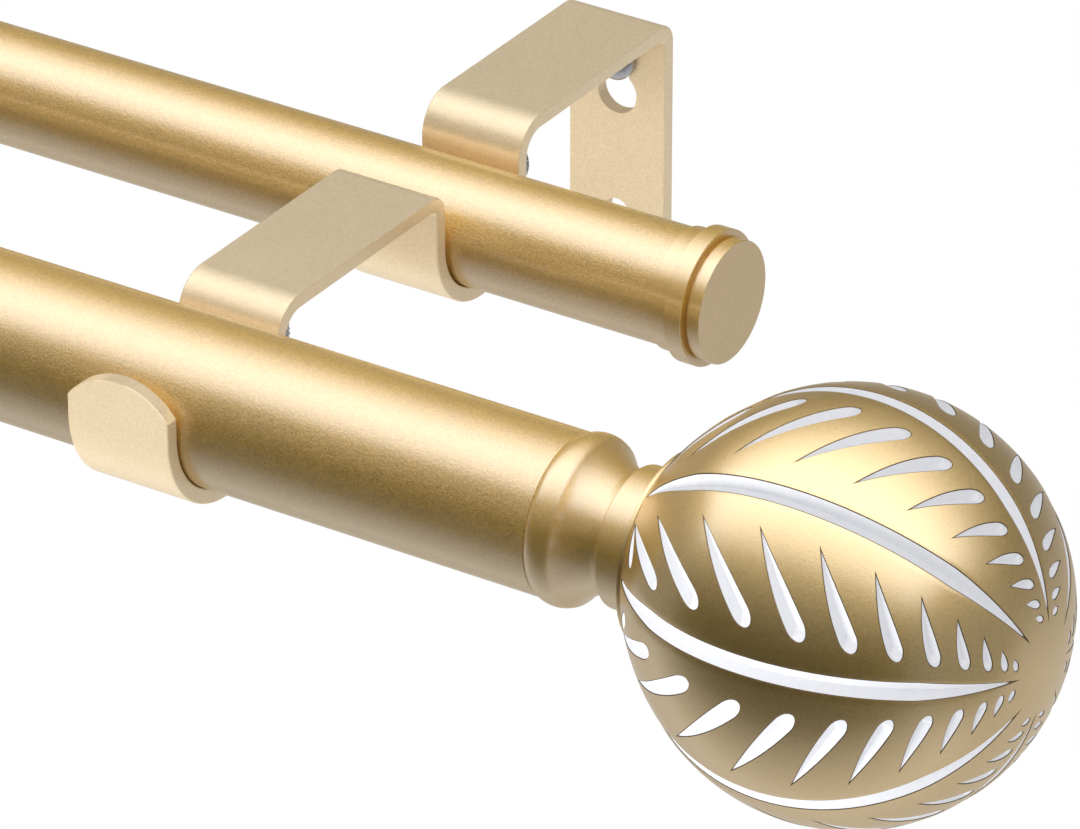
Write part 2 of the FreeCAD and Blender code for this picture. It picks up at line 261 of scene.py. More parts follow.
def arc_points(start, mid, end, steps):
    """Points on the circle through three points, without the first one."""
    (ax, ay), (bx, by), (cx, cy) = start, mid, end
    d = 2 * (ax * (by - cy) + bx * (cy - ay) + cx * (ay - by))
    a2, b2, c2 = ax * ax + ay * ay, bx * bx + by * by, cx * cx + cy * cy
    ox = (a2 * (by - cy) + b2 * (cy - ay) + c2 * (ay - by)) / d
    oy = (a2 * (cx - bx) + b2 * (ax - cx) + c2 * (bx - ax)) / d
    radius = math.hypot(ax - ox, ay - oy)
    first = math.atan2(ay - oy, ax - ox)
    half = math.remainder(math.atan2(by - oy, bx - ox) - first, 2 * math.pi)
    rest = math.remainder(math.atan2(cy - oy, cx - ox) - math.atan2(by - oy, bx - ox), 2 * math.pi)
    return arc_about((ox, oy), radius, first, half + rest, steps)[1:]


def lathe(name, outline, material, segments):
    """Turns a closed outline of (x, r) about the X axis; points on the axis become one vertex."""
    vertices, faces, rings = [], [], []
    nothing = 1e-6
    for x, r in outline:
        if r < nothing:
            rings.append([len(vertices)] * segments)
            vertices.append((x, 0, 0))
            continue
        rings.append(list(range(len(vertices), len(vertices) + segments)))
        for i in range(segments):
            angle = 2 * math.pi * i / segments
            vertices.append((x, r * math.cos(angle), r * math.sin(angle)))
    closed = outline[0][1] > nothing
    pairs = zip(rings, rings[1:] + rings[:1]) if closed else zip(rings, rings[1:])
    for a, b in pairs:
        for i in range(segments):
            j = (i + 1) % segments
            corners = [a[i], a[j], b[j], b[i]]
            face = [c for k, c in enumerate(corners) if c != corners[k - 1]]
            if len(set(face)) > 2:
                faces.append(face)
    obj = make_object(name, vertices, faces, [material])
    clean_normals(obj)
    return obj


def place(obj, side, x, y, z):
    """Moves a right-hand end piece into place; the left one is the same piece turned half round."""
    turn = Matrix.Rotation(0 if side > 0 else math.pi, 4, "Z")
    obj.data.transform(Matrix.Translation((side * x * MM, y * MM, z * MM)) @ turn)
    return obj


def stand_for(obj, node):
    """The object takes the place of a CAD node."""
    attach(obj, ROOT)
    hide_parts(node)


# Materials

class Nodes:
    """Short names for the few shader nodes that the materials use."""

    def __init__(self, name):
        self.material = bpy.data.materials.new(name)
        self.material.use_nodes = True
        self.tree = self.material.node_tree
        self.shader = self.tree.nodes["Principled BSDF"]
        self.place = self.add("ShaderNodeTexCoord").outputs["Object"]

    def add(self, kind, **inputs):
        node = self.tree.nodes.new(kind)
        for key, value in inputs.items():
            self.set(node, key.replace("_", " "), value)
        return node

    def set(self, node, socket, value):
        if isinstance(value, bpy.types.NodeSocket):
            self.tree.links.new(value, node.inputs[socket])
        else:
            node.inputs[socket].default_value = value

    def noise(self, scale, detail):
        return self.add("ShaderNodeTexNoise", Vector=self.place, Scale=scale,
                        Detail=detail).outputs["Fac"]

    def math(self, operation, a, b):
        node = self.tree.nodes.new("ShaderNodeMath")
        node.operation = operation
        self.set(node, 0, a)
        self.set(node, 1, b)
        return node.outputs[0]

    def range(self, value, low, high, to_low, to_high):
        node = self.tree.nodes.new("ShaderNodeMapRange")
        for key, number in zip(("Value", "From Min", "From Max", "To Min", "To Max"),
                               (value, low, high, to_low, to_high)):
            self.set(node, key, number)
        return node.outputs["Result"]

    def ramp(self, value, stops):
        node = self.tree.nodes.new("ShaderNodeValToRGB")
        self.set(node, "Fac", value)
        first, last = node.color_ramp.elements[0], node.color_ramp.elements[1]
        first.position, first.color = stops[0][0], (*stops[0][1], 1)
        last.position, last.color = stops[-1][0], (*stops[-1][1], 1)
        for position, colour in stops[1:-1]:
            node.color_ramp.elements.new(position).color = (*colour, 1)
        return node.outputs["Color"]

    def mix(self, factor, a, b, blend="MIX"):
        node = self.tree.nodes.new("ShaderNodeMix")
        node.data_type = "RGBA"
        node.blend_type = blend
        self.set(node, "Factor", factor)
        for socket, colour in ((6, a), (7, b)):
            if isinstance(colour, bpy.types.NodeSocket):
                self.tree.links.new(colour, node.inputs[socket])
            else:
                node.inputs[socket].default_value = (*colour, 1)
        return node.outputs[2]

    def bump(self, height, distance):
        """Tilts the surface and its coat; the distance is in metres."""
        node = self.add("ShaderNodeBump", Height=height, Distance=distance)
        self.set(self.shader, "Normal", node.outputs["Normal"])
        self.set(self.shader, "Coat Normal", node.outputs["Normal"])


FLAKE_SCALE = 4300.0
COAT_IOR = 3.3
COAT_ROUGHNESS = 0.22


def gold(name, dark, light, roughness, coat, bump, metallic=1.0):
    """Metallic paint under a clear coat: fine flakes vary its colour and tilt its surface a little."""
    m = Nodes(name)
    flakes = m.add("ShaderNodeTexVoronoi", Vector=m.place, Scale=FLAKE_SCALE)
    grain = m.noise(FLAKE_SCALE * 0.6, 1.0)
    broad = m.noise(45.0, 3.0)
    speck = m.add("ShaderNodeSeparateColor", Color=flakes.outputs["Color"]).outputs["Red"]
    mixed = m.math("MULTIPLY", m.math("ADD", speck, grain), 0.5)
    colour = m.ramp(mixed, ((0.2, dark), (0.8, light)))
    worn = m.range(broad, 0.3, 0.7, 0.97, 1.03)
    shade = m.add("ShaderNodeCombineColor", Red=worn, Green=worn, Blue=worn).outputs["Color"]
    m.set(m.shader, "Base Color", m.mix(1.0, colour, shade, "MULTIPLY"))
    m.set(m.shader, "Metallic", metallic)
    m.set(m.shader, "Roughness", m.range(mixed, 0.2, 0.8, roughness - 0.04, roughness + 0.04))
    m.set(m.shader, "Coat Weight", coat)
    m.set(m.shader, "Coat IOR", COAT_IOR)
    m.set(m.shader, "Coat Roughness", COAT_ROUGHNESS)
    m.bump(mixed, bump)
    return m.material


def mottled(name, scale, detail, dark, light, bump):
    """Nodes and tone of an even finish whose colour varies a little."""
    m = Nodes(name)
    tone = m.noise(scale, detail)
    m.set(m.shader, "Base Color", m.ramp(tone, ((0.3, dark), (0.7, light))))
    m.bump(tone, bump)
    return m, tone


def white_paint():
    m, _ = mottled("groove_white", 900.0, 2.0, (0.87, 0.88, 0.93), (0.91, 0.92, 0.95), 0.00002)
    m.set(m.shader, "Roughness", 0.45)
    return m.material


def zinc():
    m, tone = mottled("zinc_plate", 1500.0, 3.0, (0.42, 0.43, 0.46), (0.62, 0.63, 0.66), 0.00002)
    m.set(m.shader, "Metallic", 1.0)
    m.set(m.shader, "Roughness", m.range(tone, 0.3, 0.7, 0.25, 0.4))
    return m.material


def black_plastic():
    m, _ = mottled("plug_plastic", 2000.0, 2.0, (0.012, 0.012, 0.013), (0.02, 0.02, 0.022), 0.00003)
    m.set(m.shader, "Roughness", 0.5)
    return m.material


TUBE_GOLD = gold("tube_gold", (0.66, 0.43, 0.08), (0.86, 0.58, 0.13),
                 roughness=0.70, coat=1.0, bump=0.000035)
SATIN_GOLD = gold("satin_gold", (0.70, 0.46, 0.09), (0.82, 0.55, 0.12),
                  roughness=0.68, coat=1.0, bump=0.00001)
BALL_GOLD = gold("ball_gold", (0.68, 0.44, 0.09), (0.80, 0.52, 0.12),
                 roughness=0.46, coat=0.9, bump=0.00001)
# Painted light: the bracket has the same gold paint as the poles, made paler here so that its faces come
# out brighter, as if more strongly lit.
STRIP_PAINTED_LIGHT_GOLD = gold("strip_gold_painted_light", (0.83, 0.66, 0.40), (0.95, 0.76, 0.49),
                  roughness=0.38, coat=0.3, bump=0.00003, metallic=0.32)
# Painted shade: a dark gold on the small step down into each groove, a dark line that stands in for the
# shade at the groove's edge.
LIP_SHADE_GOLD = gold("lip_painted_shade", (0.10, 0.07, 0.03), (0.18, 0.12, 0.06),
                 roughness=0.40, coat=0.0, bump=0.00001, metallic=0.7)
WHITE = white_paint()
ZINC = zinc()
PLASTIC = black_plastic()


# Tubes

def pole(node, radius, half, y, z):
    bore = radius - TUBE_WALL
    points = [(-half, bore), (-half, radius), (half, radius), (half, bore)]
    outline = rounded(points + points[:1], TUBE_EDGE_ROUND, 2)[:-1]
    obj = smooth(lathe(node + "_tube", outline, TUBE_GOLD, 192))
    obj.data.transform(Matrix.Translation((0, y * MM, z * MM)))
    stand_for(obj, node)


# Folded strip

class Fold:
    """Walks along the strip's middle plane and notes (y, z, heading) as it goes."""

    def __init__(self, y, z, heading):
        self.y, self.z = y, z
        self.heading = math.radians(heading)
        self.stations = []
        self.note()

    def note(self):
        self.stations.append((self.y, self.z, self.heading))

    def run(self, length, pieces=1):
        step = length / pieces
        for _ in range(pieces):
            self.y += step * math.cos(self.heading)
            self.z += step * math.sin(self.heading)
            self.note()

    def bend(self, degrees, inner):
        turn = math.radians(degrees)
        sign = 1 if degrees > 0 else -1
        radius = inner + STRIP_T / 2
        py = self.y - sign * radius * math.sin(self.heading)
        pz = self.z + sign * radius * math.cos(self.heading)
        count = max(2, round(abs(turn) / BEND_STEP))
        for _ in range(count):
            self.heading += turn / count
            self.y = py + sign * radius * math.sin(self.heading)
            self.z = pz - sign * radius * math.cos(self.heading)
            self.note()


def fold_path():
    half = STRIP_T / 2
    rear_cradle_z = REAR_Z + REAR_CRADLE - REAR_R - REST_GAP
    front_cradle_z = FRONT_Z + FRONT_CRADLE - FRONT_R - REST_GAP
    rear_back, rear_front = REAR_Y + REAR_CRADLE + half, REAR_Y - REAR_CRADLE - half
    front_back = FRONT_Y + FRONT_CRADLE + half
    tight, wide = TIGHT_BEND + half, WIDE_BEND + half
    rear_arm, front_arm = REAR_ARM_TOP - half, FRONT_ARM_TOP - half
    fold = Fold(-half, PLATE_BOTTOM, 90)
    fold.run(rear_arm - tight - PLATE_BOTTOM, 8)
    fold.bend(90, TIGHT_BEND)
    fold.run(-half - tight - (rear_back + wide), 4)
    fold.bend(90, WIDE_BEND)
    fold.run(rear_arm - wide - rear_cradle_z, 2)
    fold.bend(-180, REAR_CRADLE)
    fold.run(front_arm - tight - rear_cradle_z)
    fold.bend(90, TIGHT_BEND)
    fold.run(rear_front - tight - (front_back + wide), 4)
    fold.bend(90, WIDE_BEND)
    fold.run(front_arm - wide - front_cradle_z, 2)
    fold.bend(-180, FRONT_CRADLE)
    fold.run(TONGUE_CORNER - front_cradle_z)
    fold.run(TONGUE_RISE, 24)
    return fold.stations


def strip_half_width(z, on_tongue):
    """Half the strip's width; it follows a circle through the tongue's corners and crown."""
    half = STRIP_W / 2
    if not on_tongue or z <= TONGUE_CORNER:
        return half
    radius = (half ** 2 + TONGUE_RISE ** 2) / (2 * TONGUE_RISE)
    above = z - (TONGUE_CORNER + TONGUE_RISE - radius)
    crown = 2 * EDGE_ROUND
    return max(math.sqrt(max(radius ** 2 - above ** 2, 0)), crown)


def strip_section(half_width):
    """A rounded rectangle: (across, through) points round the strip's section."""
    half_t, r = STRIP_T / 2, EDGE_ROUND
    corners = ((half_width - r, half_t - r, 0), (r - half_width, half_t - r, 90),
               (r - half_width, r - half_t, 180), (half_width - r, r - half_t, 270))
    points = []
    for across, through, start in corners:
        for step in range(4):
            angle = math.radians(start + 30 * step)
            points.append((across + r * math.cos(angle), through + r * math.sin(angle)))
    return points


def folded_strip(name):
    vertices, faces = [], []
    stations = fold_path()
    count = len(strip_section(STRIP_W / 2))
    for y, z, heading in stations:
        on_tongue = y < FRONT_Y - FRONT_CRADLE
        for across, through in strip_section(strip_half_width(z, on_tongue)):
            vertices.append((across, y - through * math.sin(heading), z + through * math.cos(heading)))
    for s in range(len(stations) - 1):
        for i in range(count):
            j = (i + 1) % count
            a, b = s * count, (s + 1) * count
            faces.append((a + i, a + j, b + j, b + i))
    faces.append(tuple(range(count)))
    last = (len(stations) - 1) * count
    faces.append(tuple(range(last, last + count)))
    obj = make_object(name, vertices, faces, [STRIP_PAINTED_LIGHT_GOLD])
    clean_normals(obj)
    return obj


def through_wall(outline, y, depth):
    """A prism of an X-Z outline that runs along Y, to cut a hole with."""
    n = len(outline)
    vertices = [(x, y, z) for x, z in outline] + [(x, y + depth, z) for x, z in outline]
    faces = [tuple(range(n)), tuple(range(n, 2 * n))]
    faces += [(i, (i + 1) % n, n + (i + 1) % n, n + i) for i in range(n)]
    obj = make_object("hole", vertices, faces, [STRIP_PAINTED_LIGHT_GOLD])
    clean_normals(obj)
    return obj


def circle(radius, z):
    return arc_about((0, z), radius, 0, 2 * math.pi, 48)[:-1]


def keyhole_outline():
    """Round hole below, a slot above it, and flared corners where they meet."""
    reach = KEYHOLE_R + KEYHOLE_FLARE
    flare_x = SLOT_HALF + KEYHOLE_FLARE
    flare_z = math.sqrt(reach ** 2 - flare_x ** 2)
    start = math.atan2(flare_z, flare_x)
    below = arc_about((0, KEYHOLE_Z), KEYHOLE_R, start, -math.pi - 2 * start, 40)
    left = arc_about((-flare_x, KEYHOLE_Z + flare_z), KEYHOLE_FLARE, -start, start, 8)[1:]
    top = arc_about((0, SLOT_END_Z), SLOT_HALF, math.pi, -math.pi, 16)
    right = [(-x, z) for x, z in reversed(left)]
    return below + left + top + right


def cut_holes(obj, cutters):
    for cutter in cutters:
        cut = obj.modifiers.new("hole", "BOOLEAN")
        cut.operation = "DIFFERENCE"
        cut.solver = "EXACT"
        cut.object = cutter
    bpy.context.view_layer.update()
    done = obj.evaluated_get(bpy.context.evaluated_depsgraph_get())
    mesh = bpy.data.meshes.new_from_object(done)
    obj.modifiers.clear()
    obj.data = mesh
    for cutter in cutters:
        bpy.data.objects.remove(cutter)


def bracket(node, x):
    obj = folded_strip(node + "_strip")
    rear_hole = circle(TAPPED_R, REAR_Z + LOCK_RISE)
    front_hole = circle(TAPPED_R, FRONT_Z + LOCK_RISE)
    cut_holes(obj, [
        through_wall(keyhole_outline(), -2 * STRIP_T, 3 * STRIP_T),
        through_wall(circle(WALL_HOLE_R, 0), -2 * STRIP_T, 3 * STRIP_T),
        through_wall(rear_hole, REAR_Y + REAR_CRADLE - STRIP_T, 3 * STRIP_T),
        through_wall(front_hole, FRONT_Y + FRONT_CRADLE - STRIP_T, 3 * STRIP_T),
    ])
    smooth(obj, 33.0)
    obj.data.transform(Matrix.Translation((x * MM, 0, 0)))
    stand_for(obj, node)


# Screws

def knurl(angle, along):
    """Depth of a diamond knurl, 0 on the crests and 1 in the crossing furrows."""
    turn = angle / (2 * math.pi) * KNURL_RIDGES
    one, two = (turn + along / KNURL_PITCH) % 1, (turn - along / KNURL_PITCH) % 1
    return max(abs(2 * one - 1), abs(2 * two - 1)) ** 2


def lock_screw(node, x, y, z, pole_radius, cradle):
    """Thumb screw along +Y: chamfered shank, plain hub and a knurled head."""
    tip = pole_radius + REST_GAP
    hub = cradle + STRIP_T + REST_GAP
    head = hub + HUB_LENGTH
    end = head + HEAD_LENGTH
    first, last = head + HEAD_CHAMFER, end - HEAD_CHAMFER
    steps = 22
    outline = [(tip, 0), (tip, SHANK_TIP_R), (tip + SHANK_CHAMFER, SHANK_R), (hub, SHANK_R),
               (hub, HUB_R), (head, HUB_R), (head, HEAD_RIM_R)]
    outline += [(first + (last - first) * i / steps, HEAD_R) for i in range(steps + 1)]
    outline += [(end, HEAD_RIM_R), (end, 0)]
    obj = lathe(node + "_thumb", outline, ZINC, 144)
    for vertex in obj.data.vertices:
        along, radius = vertex.co.x / MM, math.hypot(vertex.co.y, vertex.co.z) / MM
        if radius > (HEAD_R + HEAD_RIM_R) / 2:
            depth = KNURL_DEPTH * knurl(math.atan2(vertex.co.z, vertex.co.y), along)
            vertex.co.y *= 1 - depth / radius
            vertex.co.z *= 1 - depth / radius
    smooth(obj, 40.0)
    quarter_turn = Matrix.Rotation(math.pi / 2, 4, "Z")
    obj.data.transform(Matrix.Translation((x * MM, y * MM, z * MM)) @ quarter_turn)
    stand_for(obj, node)


# Finial

def neck(node, side):
    seat = RIM_FROM_TUBE
    outline = [(0, NECK_BORE), (0, FRONT_R - NECK_EDGE_ROUND), BEAD_START]
    outline += arc_points(BEAD_START, BEAD_TOP, BEAD_END, 14)
    outline += arc_points(BEAD_END, COVE, WAIST, 14)
    collar = [COLLAR_SLOPE, COLLAR_FOOT, COLLAR_TOP, (seat, COLLAR_TOP[1])]
    outline += rounded(collar, COLLAR_ROUND, 8)[1:]
    outline += [(seat, NECK_BORE)]
    obj = smooth(lathe(node + "_turned", outline, SATIN_GOLD, 160), 32.0)
    place(obj, side, FRONT_HALF, FRONT_Y, FRONT_Z)
    stand_for(obj, node)


def rear_cap(node, side):
    spigot, sleeve = REAR_R - TUBE_WALL - CAP_GAP, REAR_R + CAP_GAP
    inside = [(CAP_SPIGOT_START, 0), (CAP_SPIGOT_START, spigot), (CAP_GAP, spigot), (CAP_GAP, sleeve),
              (CAP_SLEEVE_START, sleeve)]
    outline = rounded(inside + CAP_OUTSIDE, CAP_EDGE_ROUND, 3)
    obj = smooth(lathe(node + "_turned", outline, SATIN_GOLD, 160), 32.0)
    place(obj, side, REAR_HALF, REAR_Y, REAR_Z)
    stand_for(obj, node)


def to_chart(colatitude):
    """Height in the chart, which keeps angles, of an angle from the ball's outer end."""
    return math.log(math.tan(math.radians(colatitude) / 2))


def per_mm(v):
    """How far one millimetre on the ball reaches in the chart at height v."""
    return math.cosh(v) / BALL_R


def surface_radius(colatitude):
    """The ball's radius, which grows towards the rim at its seat."""
    share = max(colatitude - FLARE_START, 0) / (RIM_ANGLE - FLARE_START)
    return BALL_R + FLARE_RISE * (FLARE_STRAIGHT * share + (1 - FLARE_STRAIGHT) * share ** 2)


class LeafCell:
    """Half a leaf, from midrib to border, drawn in a conformal chart (longitude, height).

    Each point has a drop below the ball's surface and a rank, which says what it is part of.
    """

    def __init__(self):
        self.wide = math.pi / LEAVES
        self.points, self.drops, self.ranks, self.edges = [], [], [], []
        self.carved = []

    def add(self, u, v, drop, rank):
        self.points.append(Vector((u, v)))
        self.drops.append(drop)
        self.ranks.append(rank)
        return len(self.points) - 1

    def chain(self, indices):
        self.edges += list(zip(indices, indices[1:]))

    def furrow(self, half_width):
        return WHITE_DROP + GROOVE_SLOPE * max(half_width - LIP, 0)

    def line(self, at, inward):
        """One side of a leaf line along the cell's edge: even in the middle, pointed at both ends."""
        middle, reach = math.radians(LINE_NEAR + LINE_FAR) / 2, math.radians(LINE_FAR - LINE_NEAR) / 2
        lip, white = [], []
        widest = LINE_WIDTH / 2
        for i in range(LINE_STEPS + 1):
            down = LINE_NEAR + (LINE_END - LINE_NEAR) * i / LINE_STEPS
            v = to_chart(down)
            taper = (math.cos(math.radians(down) - middle) - math.cos(reach)) / (1 - math.cos(reach))
            closing = min(1.0, (LINE_END - down) / LINE_CLOSING)
            width = min(LINE_WIDTH, LINE_TAPER_WIDTH * taper) / 2 * closing
            shoulder = SHOULDER * math.sin(math.radians(down))
            drop = SHOULDER_DROP * width / widest
            self.carved.append((at, v, width + shoulder))
            lip.append(self.add(at + inward * width * per_mm(v), v, drop, LIP_LINE))
            if 0 < i < LINE_STEPS:
                self.add(at + inward * (width + shoulder) * per_mm(v), v, 0, PLAIN)
            if width > LINE_WHITE_FROM * LIP:
                white.append((v, width, drop))
        ends = [self.add(at, white[i][0], WHITE_DROP, WHITE_EDGE) for i in (0, -1)]
        edge = [self.add(at + inward * (w - LIP) * per_mm(v), v, drop + WHITE_DROP, WHITE_EDGE)
                for v, w, drop in white[1:-1]]
        deep = [self.add(at, v, drop + self.furrow(w), FURROW) for v, w, drop in white[1:-1]]
        self.chain(lip)
        self.chain([ends[0]] + edge + [ends[1]])
        self.chain([lip[0], ends[0]] + deep + [ends[1], lip[-1]])

    def leaflet(self, k):
        """Teardrop furrow: sharp near the midrib, round near the border."""
        end_down = LEAFLET_FIRST + LEAFLET_STEP * k + LEAFLET_CLOSING * k * k
        tip_down = min(end_down * LEAFLET_SWEEP + LEAFLET_SWEEP_OFFSET, LEAFLET_TIP_LIMIT)
        tip_margin = LEAFLET_TIP_MARGIN / math.sin(math.radians(tip_down)) ** LEAFLET_MARGIN_GROWTH
        radius = LEAFLET_ROUND * math.sin(math.radians(end_down)) ** LEAFLET_SHRINK
        tip = Vector((math.radians(tip_margin), to_chart(tip_down)))
        end = Vector((self.wide - math.radians(LEAFLET_END_MARGIN), to_chart(end_down)))
        along = (end - tip).normalized()
        across = Vector((-along.y, along.x))
        centre = end - along * LEAFLET_CAP * radius * per_mm(end.y)
        spine = [(tip.lerp(centre, i / LEAFLET_STEPS), i / LEAFLET_STEPS)
                 for i in range(1, LEAFLET_STEPS + 1)]
        spine = [(at, radius * (1.5 * t - 0.5 * t ** 3)) for at, t in spine]

        def outline(inset):
            kept = [(at, w - inset) for at, w in spine if w > LEAFLET_WHITE_FROM * inset]
            side_a = [at + across * w * per_mm(at.y) for at, w in kept]
            side_b = [at - across * w * per_mm(at.y) for at, w in kept]
            half = (radius - inset) * per_mm(end.y)
            reach = (LEAFLET_CAP * radius - inset) * per_mm(end.y)
            cap = [centre + across * half * math.cos(math.pi * i / CAP_STEPS)
                   + along * reach * math.sin(math.pi * i / CAP_STEPS) for i in range(1, CAP_STEPS)]
            return side_a + cap + side_b[::-1]

        tip_index = self.add(tip.x, tip.y, 0, LIP_LINE)
        lip = [self.add(p.x, p.y, 0, LIP_LINE) for p in outline(0)]
        self.chain([tip_index] + lip + [tip_index])
        white = [(at, w) for at, w in spine if w > LEAFLET_WHITE_FROM * LIP]
        start = white[0][0].lerp(tip, 0.5)
        start_index = self.add(start.x, start.y, WHITE_DROP, WHITE_EDGE)
        edge = [self.add(p.x, p.y, WHITE_DROP, WHITE_EDGE) for p in outline(LIP)]
        self.chain([start_index] + edge + [start_index])
        deep = [self.add(at.x, at.y, self.furrow(w), FURROW) for at, w in white]
        self.chain([tip_index, start_index] + deep)
        self.carved += [(at.x, at.y, w) for at, w in spine]
        self.carved.append((*centre.lerp(end, 0.5), radius * CAP_FULLNESS))

    def room(self, u, v):
        """Millimetres from a point to the nearest carved edge."""
        k = per_mm(v)
        return min(math.hypot(u - cu, v - cv) / k - width for cu, cv, width in self.carved)

    def fill(self):
        """Grid points on the plain surface, denser where the ball is wide."""
        rows = round(math.radians(RIM_ANGLE - CROWN_ANGLE) * BALL_R / GRID_STEP)
        for row in range(rows + 1):
            down = CROWN_ANGLE + (RIM_ANGLE - CROWN_ANGLE) * row / rows
            v = to_chart(down)
            columns = max(1, round(self.wide / per_mm(v) / GRID_STEP))
            at_end = row in (0, rows)
            for column in range(columns + 1):
                u = self.wide * column / columns
                on_side = column in (0, columns)
                if not (on_side or at_end):
                    u += self.wide / columns * (GRID_SHIFT if row % 2 else -GRID_SHIFT)
                if at_end or self.room(u, v) > (0 if on_side else GRID_CLEARANCE):
                    self.add(u, v, 0, PLAIN)

    def build(self):
        """Triangles of the whole cell; a point drawn twice keeps its deepest drop and lowest rank."""
        self.line(0.0, 1)
        self.line(self.wide, -1)
        for k in range(LEAFLETS):
            self.leaflet(k)
        self.fill()
        result = geometry.delaunay_2d_cdt(self.points, self.edges, [], 0, 1e-9)
        vertices, triangles, sources = result[0], result[2], result[3]
        drops = [max(self.drops[s] for s in source) if source else 0 for source in sources]
        ranks = [min(self.ranks[s] for s in source) if source else PLAIN for source in sources]
        return vertices, triangles, drops, ranks


def rim_outline():
    """Rows from the flared surface over the thin rim to the seat, as (x, radius)."""
    seat = RIM_FROM_TUBE - BALL_FROM_TUBE
    edge = seat + RIM_THICK
    return [(edge, RIM_R - 0.18), (edge - 0.06, RIM_R - 0.04), (edge - 0.16, RIM_R),
            (seat + 0.16, RIM_R), (seat + 0.05, RIM_R - 0.05), (seat, RIM_R - 0.16)]


def face_tone(corner_ranks):
    """White inside a groove, a dark gold painted shade on the step down to it, plain gold elsewhere."""
    if min(corner_ranks) >= WHITE_EDGE:
        return WHITE_FACE
    if min(corner_ranks) == LIP_LINE and max(corner_ranks) >= WHITE_EDGE:
        return LIP_SHADE_FACE
    return GOLD_FACE


def carved_ball():
    """The whole ball about its own centre: vertices, faces and a material number for each face."""
    points, triangles, drops, ranks = LeafCell().build()
    vertices, faces, tones = [], [], []
    rim, crown = [], []
    low, high = to_chart(CROWN_ANGLE), to_chart(RIM_ANGLE)
    for leaf in range(LEAVES):
        for mirror in (1, -1):
            base = len(vertices)
            for p, drop in zip(points, drops):
                down = 2 * math.atan(math.exp(p.y))
                around = math.radians(FIRST_MIDRIB + leaf * 360 / LEAVES) + mirror * p.x
                r = surface_radius(math.degrees(down)) - drop
                vertices.append((r * math.cos(down), -r * math.sin(down) * math.cos(around),
                                 r * math.sin(down) * math.sin(around)))
            for a, b, c in triangles:
                faces.append((base + a, base + b, base + c))
                tones.append(face_tone((ranks[a], ranks[b], ranks[c])))
            for group, level in ((crown, low), (rim, high)):
                row = sorted((p.x, base + i) for i, p in enumerate(points) if abs(p.y - level) < 1e-6)
                group += [(a[1], b[1]) for a, b in zip(row, row[1:])]
    hub = len(vertices)
    vertices.append((BALL_R, 0, 0))
    for a, b in crown:
        faces.append((a, b, hub))
        tones.append(GOLD_FACE)
    for x, radius in rim_outline():
        ring = []
        for a, b in rim:
            pair = []
            for i in (a, b):
                scale = radius / math.hypot(vertices[i][1], vertices[i][2])
                pair.append(len(vertices))
                vertices.append((x, vertices[i][1] * scale, vertices[i][2] * scale))
            ring.append(tuple(pair))
            faces.append((a, b, pair[1], pair[0]))
            tones.append(GOLD_FACE)
        rim = ring
    hub = len(vertices)
    vertices.append((RIM_FROM_TUBE - BALL_FROM_TUBE, 0, 0))
    for a, b in rim:
        faces.append((a, b, hub))
        tones.append(GOLD_FACE)
    return vertices, faces, tones


def shade_ball(obj):
    """Keeps the untouched surface perfectly round in the shading, whatever its triangles."""
    mesh = obj.data
    normals = [Vector(corner.vector) for corner in mesh.corner_normals]
    seat_side = BALL_R * math.cos(math.radians(FLARE_START)) * MM
    round_enough = (BALL_R - 0.01) * MM
    for polygon in mesh.polygons:
        if polygon.material_index != GOLD_FACE:
            continue
        for loop in polygon.loop_indices:
            position = mesh.vertices[mesh.loops[loop].vertex_index].co
            if position.x > seat_side and position.length > round_enough:
                normals[loop] = position.normalized()
    mesh.normals_split_custom_set(normals)


def finial_ball(node, side, model):
    """One finished ball; creases stay where the paint changes and at the bottom of the furrows."""
    vertices, faces, tones = model
    obj = make_object(node + "_carved", vertices, faces, [BALL_GOLD, WHITE, LIP_SHADE_GOLD], tones)
    work = bmesh.new()
    work.from_mesh(obj.data)
    bmesh.ops.remove_doubles(work, verts=work.verts, dist=WELD * MM)
    bmesh.ops.dissolve_degenerate(work, edges=work.edges, dist=WELD / 5 * MM)
    bmesh.ops.recalc_face_normals(work, faces=work.faces)
    for edge in work.edges:
        paints = {face.material_index for face in edge.link_faces}
        steep = len(edge.link_faces) == 2 and edge.calc_face_angle() > math.radians(30)
        edge.smooth = len(paints) == 1 and not steep
    for face in work.faces:
        face.smooth = True
    work.to_mesh(obj.data)
    work.free()
    shade_ball(obj)
    place(obj, side, BALL_X, FRONT_Y, FRONT_Z)
    stand_for(obj, node)


# Studio

def camera():
    a, e = CAMERA_AZIMUTH, CAMERA_ELEVATION
    forward = Vector((-math.sin(a) * math.cos(e), math.cos(a) * math.cos(e), -math.sin(e)))
    right = Vector((math.cos(a), math.sin(a), 0))
    up = right.cross(forward)
    data = bpy.data.cameras.new("camera")
    data.sensor_fit = "HORIZONTAL"
    data.sensor_width = SENSOR_WIDTH
    data.lens = FOCAL_PIXELS * SENSOR_WIDTH / IMAGE_WIDTH
    data.clip_start, data.clip_end = 0.05, 50
    obj = bpy.data.objects.new("camera", data)
    bpy.context.scene.collection.objects.link(obj)
    spot = Vector(CAMERA_TARGET) * MM - forward * CAMERA_DISTANCE * MM
    turn = Matrix((right, up, -forward)).transposed().to_4x4()
    obj.matrix_world = Matrix.Translation(spot) @ turn
    bpy.context.scene.camera = obj


def softbox(name):
    """Area light that only lights; the reflections come from the card round the poles."""
    data = bpy.data.lights.new(name, "AREA")
    data.shape = "RECTANGLE"
    data.size, data.size_y = LAMP_WIDTH * MM, LAMP_HEIGHT * MM
    data.energy = LAMP_POWER
    obj = bpy.data.objects.new(name, data)
    bpy.context.scene.collection.objects.link(obj)
    spot = Vector(LAMP_SPOT) * MM
    away = spot - Vector(LAMP_AIM) * MM
    obj.matrix_world = Matrix.Translation(spot) @ away.to_track_quat("Z", "Y").to_matrix().to_4x4()
    obj.visible_glossy = False


